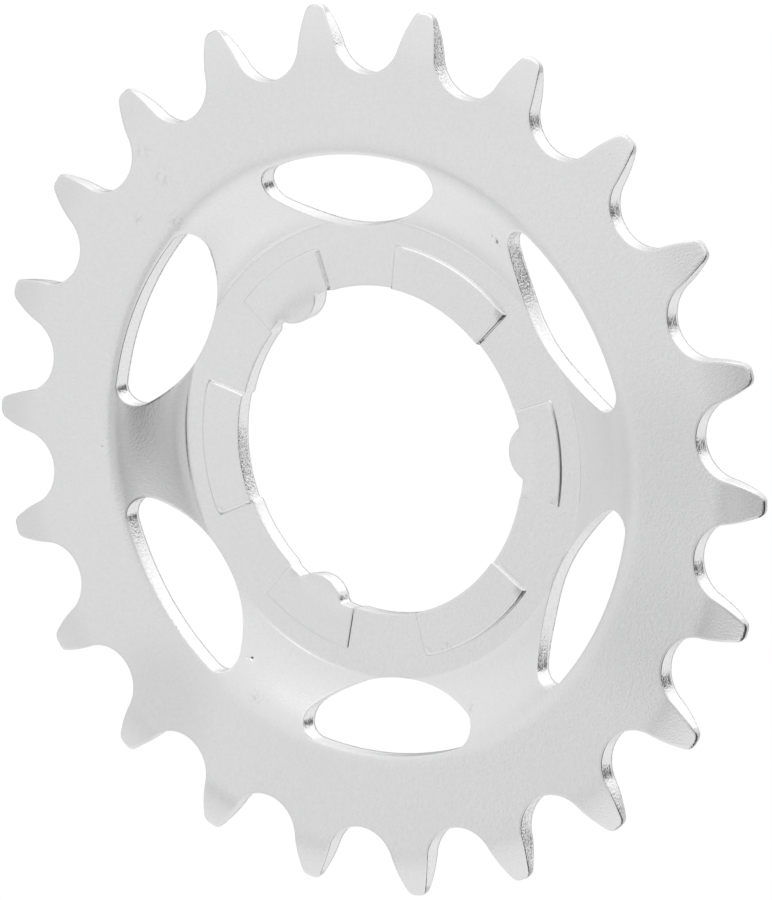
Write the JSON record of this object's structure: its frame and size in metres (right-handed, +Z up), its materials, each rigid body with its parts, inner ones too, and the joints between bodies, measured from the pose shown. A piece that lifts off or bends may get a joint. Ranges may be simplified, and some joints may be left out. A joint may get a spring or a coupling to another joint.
{
  "type": "bicycle hub gear sprocket",
  "caption": "Dished steel sprocket for a bicycle hub gear, with chain teeth, lens-shaped windows, raised pads and a lugged bore.",
  "frame": {"origin": "on the axis of the bore, in the flat back face of the hub (the face that rests against the hub driver's shoulder)", "axes": "+Y along the axis toward the back (hub) side, -Y out of the front that the picture shows; +Z up through the middle of one tooth; +X to the right seen from the front"},
  "size_m": [0.0942, 0.0055, 0.0952],
  "materials": {
    "plated_steel": "satin, bright zinc or nickel plated"
  },
  "bodies": {
    "root": {"sprocket": "plated_steel"}
  },
  "joints": []
}
